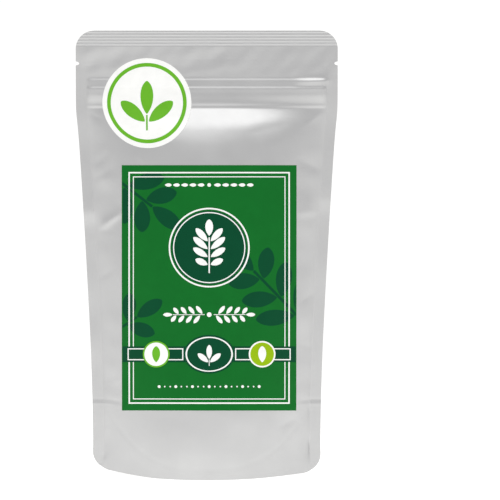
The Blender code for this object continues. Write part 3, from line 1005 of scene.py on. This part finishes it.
class POUCH_OT_add_bottom_web(bpy.types.Operator):
    """Adds the bottom web: a sheet folded upwards, sealed inside both panels and spread by the contents"""

    bl_idname = "pouch.add_bottom_web"
    bl_label = "Bottom web"

    COLUMN_STEP = 0.0025
    SEAL_COLUMNS = (0.0915, 0.092, 0.0925)
    # Rows over the seal, closer at the ground by this power, and rows of the arch
    SEAL_ROWS = 16
    SEAL_SPACING = 1.3
    ARCH_ROWS = 22
    # Pieces and halvings with which the arch's rise is found
    ARCH_PIECES = 59
    HALVINGS = 40

    def execute(self, context):
        half = context.scene.pouch_sizes.flat_width / 2
        front = self.front_half(grid_lines(-half, half, self.COLUMN_STEP, self.SEAL_COLUMNS), half)
        back = front[:, -2::-1] * np.array((1, -1, 1))
        runs = np.concatenate((front, back), axis=1)
        clear_selection()
        bpy.ops.mesh.primitive_grid_add(
            x_subdivisions=runs.shape[0] - 1, y_subdivisions=runs.shape[1] - 1, size=2
        )
        obj = named("bottom_web")
        points = points_of(obj)
        i = np.round((points[:, 0] + 1) / 2 * (runs.shape[0] - 1)).astype(int)
        j = np.round((points[:, 1] + 1) / 2 * (runs.shape[1] - 1)).astype(int)
        set_points(obj, runs[i, j])
        apply_modifier(obj, "SOLIDIFY", thickness=context.scene.pouch_sizes.film, offset=-1.0)
        keep_above_floor(obj)
        only(obj)
        bpy.ops.object.shade_smooth_by_angle(angle=math.radians(40))
        dress(obj, bpy.data.materials["satin_metallised_laminate"], "foil_laminate", "bottom_gusset")
        return {"FINISHED"}

    def front_half(self, columns, half):
        """Upper face of the web from the front edge to the fold, as rows of points for each column."""
        out = np.linspace(1, 0, self.ARCH_ROWS + 1)[1:]
        runs = []
        for column, top in zip(columns, web_seal(columns)):
            up = top * np.linspace(0, 1, self.SEAL_ROWS) ** self.SEAL_SPACING
            edge = panel_outline(up) / half
            sealed = on_film(np.stack((column * edge, np.full(self.SEAL_ROWS, CONTACT), up), axis=1))
            x, y, z = sealed[-1]
            rise = self.rise_of_arch(abs(y), GUSSET_LEAF - top)
            arch = (np.full(self.ARCH_ROWS, x), y * out, z + rise * (1 - out**WEB_ARCH_POWER))
            runs.append(np.concatenate((sealed, np.stack(arch, axis=1))))
        return np.array(runs)

    def rise_of_arch(self, span, leaf):
        """Rise at which an arch over a span is as long as what is left of a leaf above its seal."""
        steps = np.linspace(1, 0, self.ARCH_PIECES + 1)
        low, high = 0.0, leaf
        for _ in range(self.HALVINGS):
            rise = (low + high) / 2
            curve = rise * (1 - steps**WEB_ARCH_POWER)
            if np.hypot(np.diff(curve), span / self.ARCH_PIECES).sum() < leaf:
                low = rise
            else:
                high = rise
        return rise


class POUCH_OT_add_label(bpy.types.Operator):
    """Adds the rectangular paper label on the front"""

    bl_idname = "pouch.add_label"
    bl_label = "Front label"

    def execute(self, context):
        sizes = context.scene.pouch_sizes
        obj = flat_rectangle(
            "front_label_sheet", sizes.label_left, sizes.label_bottom, sizes.label_right, sizes.label_top
        )
        face_front(obj)
        cut_in_grid(obj)
        wrap(obj, sizes.film + CONTACT, sizes.label_paper, seen=True)
        paper = ink_material("varnished_label_green", context.scene.pouch_colours.label_green)
        dress(obj, paper, "label", "front_label")
        return {"FINISHED"}


class POUCH_OT_print_label(bpy.types.Operator):
    """Prints the label: branches, a plain double border, a medallion with a sprig, and a band"""

    bl_idname = "pouch.print_label"
    bl_label = "Label print"

    # Ink keeps this far off the label's cut edge
    MARGIN = 0.0006
    # Branches: foot across and up, angle, length, pairs of leaves, a leaf's length and width
    BRANCHES = (
        (0.074, 0.066, -44, 0.058, 3, 0.028, 0.0125),
        (-0.070, 0.178, 128, 0.034, 2, 0.027, 0.0125),
        (-0.070, 0.062, 56, 0.018, 1, 0.023, 0.0110),
    )
    # Border lines: how far in from the edge, and how wide
    BORDERS = (("outer", 0.0052, 0.0011), ("inner", 0.0086, 0.0007))
    # Heights above the label's lower edge, and the row of leaves below its upper edge
    DOTS_UP = 0.0185
    BAND_UP = (0.0375, 0.0495)
    SPRAY_UP = 0.0740
    MEDALLION_UP = 0.1255
    LEAF_ROW_DOWN = 0.0152
    # Radii of the medallion, and of its rings outside and inside
    MEDALLION = 0.0282
    MEDALLION_RINGS = ((0.0306, 0.0294), (0.0273, 0.0265))
    # Half the oval's width and height on the band, and places of the two badges beside it
    OVAL = (0.0192, 0.0148)
    BADGE_AWAY = 0.0400
    BADGE = 0.0102
    BADGE_FIELD = 0.0090
    BADGE_LEAF = (0.0124, 0.0062)

    def execute(self, context):
        sizes, colours = context.scene.pouch_sizes, context.scene.pouch_colours
        self.base = sizes.film + CONTACT + sizes.label_paper
        self.left, self.right = sizes.label_left, sizes.label_right
        self.middle = (self.left + self.right) / 2
        self.bottom, self.top = sizes.label_bottom, sizes.label_top
        self.leaf = ink_material("varnished_ink_leaf_green", colours.leaf_green)
        self.dark = ink_material("varnished_ink_dark_green", colours.dark_green)
        self.lime = ink_material("varnished_ink_lime", colours.lime)
        self.ring = ink_material("varnished_ink_ring_green", colours.ring_green)
        self.white = ink_material("varnished_ink_white", colours.white)
        self.branches()
        self.border()
        self.medallion()
        self.band()
        self.ornaments()
        return {"FINISHED"}

    def put(self, obj, ink, layer):
        return print_on(obj, self.base, ink, "label", layer, seen=True)

    def branches(self):
        for n, (x, z, angle, *form) in enumerate(self.BRANCHES):
            obj = branch(f"printed_branch_{n}", self.middle + x, self.bottom + z, angle, *form)
            low, high = self.bottom + self.MARGIN, self.top - self.MARGIN
            trim(obj, self.left + self.MARGIN, low, self.right - self.MARGIN, high)
            self.put(obj, self.leaf, 0)

    def border(self):
        for name, inset, line in self.BORDERS:
            lines = flat_frame(
                f"printed_border_{name}",
                self.left + inset,
                self.bottom + inset,
                self.right - inset,
                self.top - inset,
                line,
            )
            self.put(lines, self.white, 1)

    def medallion(self):
        x, z = self.middle, self.bottom + self.MEDALLION_UP
        self.put(flat_disc("printed_medallion", x, z, self.MEDALLION), self.dark, 1)
        for n, (outer, inner) in enumerate(self.MEDALLION_RINGS):
            self.put(flat_ring(f"printed_medallion_ring_{n}", x, z, outer, inner), self.white, 2)
        leaves = [blade("sprig", x, z + 0.0092, 0, 0.0125, 0.0060)]
        stalk = flat_rectangle("sprig_stalk", x - 0.0005, z - 0.0195, x + 0.0005, z + 0.0080)
        for level, (length, angle) in enumerate(((0.0132, 42), (0.0140, 50), (0.0128, 58), (0.0100, 66))):
            foot = z + 0.0050 - 0.0060 * level
            for side in (-1, 1):
                leaves.append(blade("sprig", x + side * 0.0012, foot, side * angle, length, 0.0050))
        self.put(join("printed_sprig", [stalk] + leaves), self.white, 2)

    def band(self):
        low, high = [self.bottom + up for up in self.BAND_UP]
        x, z = self.middle, (low + high) / 2
        left, right = self.left + self.MARGIN, self.right - self.MARGIN
        self.put(flat_rectangle("printed_band", left, low, right, high), self.dark, 2)
        frames = (("left", left + 0.0040, x - 0.0195), ("right", x + 0.0195, right - 0.0040))
        for name, start, end in frames:
            lines = flat_frame(f"printed_band_frame_{name}", start, low + 0.0014, end, high - 0.0014, 0.0008)
            self.put(lines, self.white, 3)
        self.put(flat_oval("printed_oval", x, z, *self.OVAL), self.dark, 3)
        self.put(flat_ring("printed_oval_ring", x, z, 0.0135, 0.0126, stretch=1.32), self.white, 4)
        self.put(three_leaves("printed_oval_leaves", x, z, 0.0160), self.white, 4)
        for name, side, rim, field, mark in (
            ("left", -1, self.ring, self.white, self.ring),
            ("right", 1, self.white, self.lime, self.white),
        ):
            place = x + side * self.BADGE_AWAY
            length, width = self.BADGE_LEAF
            self.put(flat_disc(f"printed_badge_{name}", place, z, self.BADGE), rim, 4)
            self.put(flat_disc(f"printed_badge_field_{name}", place, z, self.BADGE_FIELD), field, 5)
            leaf = blade(f"printed_badge_leaf_{name}", place, z - length / 2, 0, length, width)
            self.put(leaf, mark, 6)

    def ornaments(self):
        x = self.middle
        dots = []
        for n in range(-9, 10):
            size = 0.0022 if n % 3 == 0 else 0.0012
            dots.append(flat_disc("dot", x + 0.0042 * n, self.bottom + self.DOTS_UP, size / 2, sides=20))
        self.put(join("printed_dots_lower", dots), self.white, 1)
        row = []
        z = self.top - self.LEAF_ROW_DOWN
        for n in range(-5, 6):
            if n:
                row.append(blade("row", x + 0.0062 * n - 0.0026, z, 90, 0.0052, 0.0026))
            else:
                row.append(flat_disc("row", x, z, 0.0014, sides=20))
        self.put(join("printed_leaf_row", row), self.white, 1)
        z = self.bottom + self.SPRAY_UP
        spray = [flat_disc("spray", x, z, 0.0018, sides=32)]
        for side in (-1, 1):
            spray.append(branch("spray", x + side * 0.0034, z, side * 90, 0.0240, 4, 0.0070, 0.0030))
        self.put(join("printed_spray", spray), self.white, 1)


class POUCH_OT_add_round_sticker(bpy.types.Operator):
    """Adds the round white sticker over the zip, with a green ring and three plain leaves"""

    bl_idname = "pouch.add_round_sticker"
    bl_label = "Round sticker"

    BRIDGE = 0.0015
    # The ring's two edges, in from the sticker's edge, and the leaves' height
    RING_IN = (0.0036, 0.0064)
    LEAVES = 0.037

    def execute(self, context):
        sizes, colours = context.scene.pouch_sizes, context.scene.pouch_colours
        x, z, radius = sizes.sticker_x, sizes.sticker_z, sizes.sticker_radius
        lift = sizes.film + 2 * CONTACT
        how = dict(step=GRID_STEP / 2, bridge=self.BRIDGE)
        white = ink_material("varnished_sticker_white", colours.white)
        green = bpy.data.materials["varnished_ink_ring_green"]
        disc = flat_disc("round_sticker_sheet", x, z, radius, sides=128)
        face_front(disc)
        cut_in_grid(disc, GRID_STEP / 2)
        wrap(disc, lift, sizes.label_paper, bridge=self.BRIDGE)
        dress(disc, white, "sticker", "round_sticker")
        base = lift + sizes.label_paper
        outer, inner = [radius - off for off in self.RING_IN]
        ring = flat_ring("sticker_ring", x, z, outer, inner, sides=128)
        print_on(ring, base, green, "sticker", **how)
        print_on(three_leaves("sticker_leaves", x, z, self.LEAVES), base, green, "sticker", **how)
        return {"FINISHED"}


class POUCH_OT_finish_inside(bpy.types.Operator):
    """Gives the zip strips and the contents their materials"""

    bl_idname = "pouch.finish_inside"
    bl_label = "Zip and contents"

    def execute(self, context):
        surfaces = {
            "zip_groove_strip": zip_material(),
            "zip_ridge_strip": bpy.data.materials["extruded_polyethylene"],
            "dried_parsley": parsley_material(),
        }
        for node, surface in surfaces.items():
            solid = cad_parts[node]
            solid.data.materials.clear()
            solid.data.materials.append(surface)
        return {"FINISHED"}


class POUCH_OT_set_stage(bpy.types.Operator):
    """Sets a white floor, soft studio light and the camera"""

    bl_idname = "pouch.set_stage"
    bl_label = "Stage"

    FLOOR_SIDE = 160
    # The floor lies a hair under the pouch, so that the two share no face
    FLOOR_DROP = 0.0002
    SOFTBOX_PLACE = (0.1, -1.3, 2.1)
    SOFTBOX_AIM = (0, 0, 0.26)
    SOFTBOX_SIZE = (1.8, 0.8)
    SOFTBOX_POWER = 1.2
    # Greys of the tent by height, from 0 at eye level and below to 1 overhead
    TENT_LOW = (0.390, 0.388, 0.396, 1)
    TENT_HIGH = (0.955, 0.955, 0.95, 1)
    TENT_BETWEEN = ((0.42, 0.39), (0.64, 0.54), (0.79, 0.885))
    TENT_STRENGTH = 1.8
    PIXELS_PER_TANGENT = 3915.0
    IMAGE_SIDE = 500
    SENSOR = 36.0
    SHIFT = (0.0865, 0.0055)
    CLIP = (0.1, 100)

    def execute(self, context):
        scene = context.scene
        clear_selection()
        bpy.ops.mesh.primitive_plane_add(size=self.FLOOR_SIDE, location=(0, 0, -self.FLOOR_DROP))
        floor = named("floor")
        floor.data.materials.append(floor_material())
        self.softbox()
        self.tent(scene)
        self.camera(scene)
        scene.view_settings.view_transform = "Standard"
        return {"FINISHED"}

    def softbox(self):
        """One wide softbox over the front, which the film under the zip shows as its bright band."""
        place = Vector(self.SOFTBOX_PLACE)
        clear_selection()
        bpy.ops.object.light_add(type="AREA", location=place)
        light = bpy.context.object
        light.name = light.data.name = "overhead_softbox"
        light.data.shape = "RECTANGLE"
        light.data.size, light.data.size_y = self.SOFTBOX_SIZE
        light.data.energy = self.SOFTBOX_POWER
        light.rotation_euler = (Vector(self.SOFTBOX_AIM) - place).to_track_quat("-Z", "Y").to_euler()

    def tent(self, scene):
        """A white tent, darker at eye level, so that the film's folds show, and brightest overhead."""
        world = bpy.data.worlds.new("white_tent")
        world.use_nodes = True
        background = world.node_tree.nodes["Background"]
        direction = add_node(world, "ShaderNodeTexCoord").outputs["Generated"]
        height = add_node(world, "ShaderNodeSeparateXYZ", {"Vector": direction}).outputs["Z"]
        tent = add_node(world, "ShaderNodeValToRGB", {"Fac": height})
        stops = tent.color_ramp.elements
        stops[0].position, stops[0].color = 0.0, self.TENT_LOW
        stops[1].position, stops[1].color = 1.0, self.TENT_HIGH
        for place, grey in self.TENT_BETWEEN:
            stop = stops.new(place)
            stop.color = (grey, grey, grey, 1)
        world.node_tree.links.new(tent.outputs["Color"], background.inputs["Color"])
        background.inputs["Strength"].default_value = self.TENT_STRENGTH
        scene.world = world

    def camera(self, scene):
        clear_selection()
        elevation = math.radians(SEEN_ELEVATION)
        aim = Vector((0, 0, SEEN_HEIGHT))
        back = Vector((0, -math.cos(elevation), math.sin(elevation)))
        bpy.ops.object.camera_add(location=aim + back * SEEN_DISTANCE)
        camera = bpy.context.object
        camera.name = camera.data.name = "camera"
        camera.rotation_euler = (-back).to_track_quat("-Z", "Y").to_euler()
        camera.data.sensor_width = self.SENSOR
        camera.data.lens = self.PIXELS_PER_TANGENT / self.IMAGE_SIDE * self.SENSOR
        camera.data.shift_x, camera.data.shift_y = self.SHIFT
        camera.data.clip_start, camera.data.clip_end = self.CLIP
        scene.camera = camera


class POUCH_PT_sidebar(bpy.types.Panel):
    """Lists the pouch's sizes, colours and pieces"""

    bl_idname = "POUCH_PT_sidebar"
    bl_label = "Stand-up pouch"
    bl_space_type = "VIEW_3D"
    bl_region_type = "UI"
    bl_category = "Pouch"

    def draw(self, context):
        for settings in (context.scene.pouch_sizes, context.scene.pouch_colours):
            box = self.layout.box()
            for name in settings.bl_rna.properties.keys():
                if name not in ("rna_type", "name"):
                    box.prop(settings, name)
        for operator in OPERATORS:
            self.layout.operator(operator.bl_idname)


OPERATORS = (
    POUCH_OT_set_stage,
    POUCH_OT_add_panels,
    POUCH_OT_add_bottom_web,
    POUCH_OT_add_label,
    POUCH_OT_print_label,
    POUCH_OT_add_round_sticker,
    POUCH_OT_finish_inside,
)
CLASSES = (PouchSizes, PouchColours, *OPERATORS, POUCH_PT_sidebar)


def register():
    for cls in CLASSES:
        bpy.utils.register_class(cls)
    bpy.types.Scene.pouch_sizes = bpy.props.PointerProperty(type=PouchSizes)
    bpy.types.Scene.pouch_colours = bpy.props.PointerProperty(type=PouchColours)


def unregister():
    del bpy.types.Scene.pouch_colours
    del bpy.types.Scene.pouch_sizes
    for cls in reversed(CLASSES):
        bpy.utils.unregister_class(cls)


def main():
    register()
    bpy.ops.pouch.set_stage()
    bpy.ops.pouch.add_panels()
    bpy.ops.pouch.add_bottom_web()
    bpy.ops.pouch.add_label()
    bpy.ops.pouch.print_label()
    bpy.ops.pouch.add_round_sticker()
    bpy.ops.pouch.finish_inside()
    clear_selection()


if __name__ == "__main__":
    main()
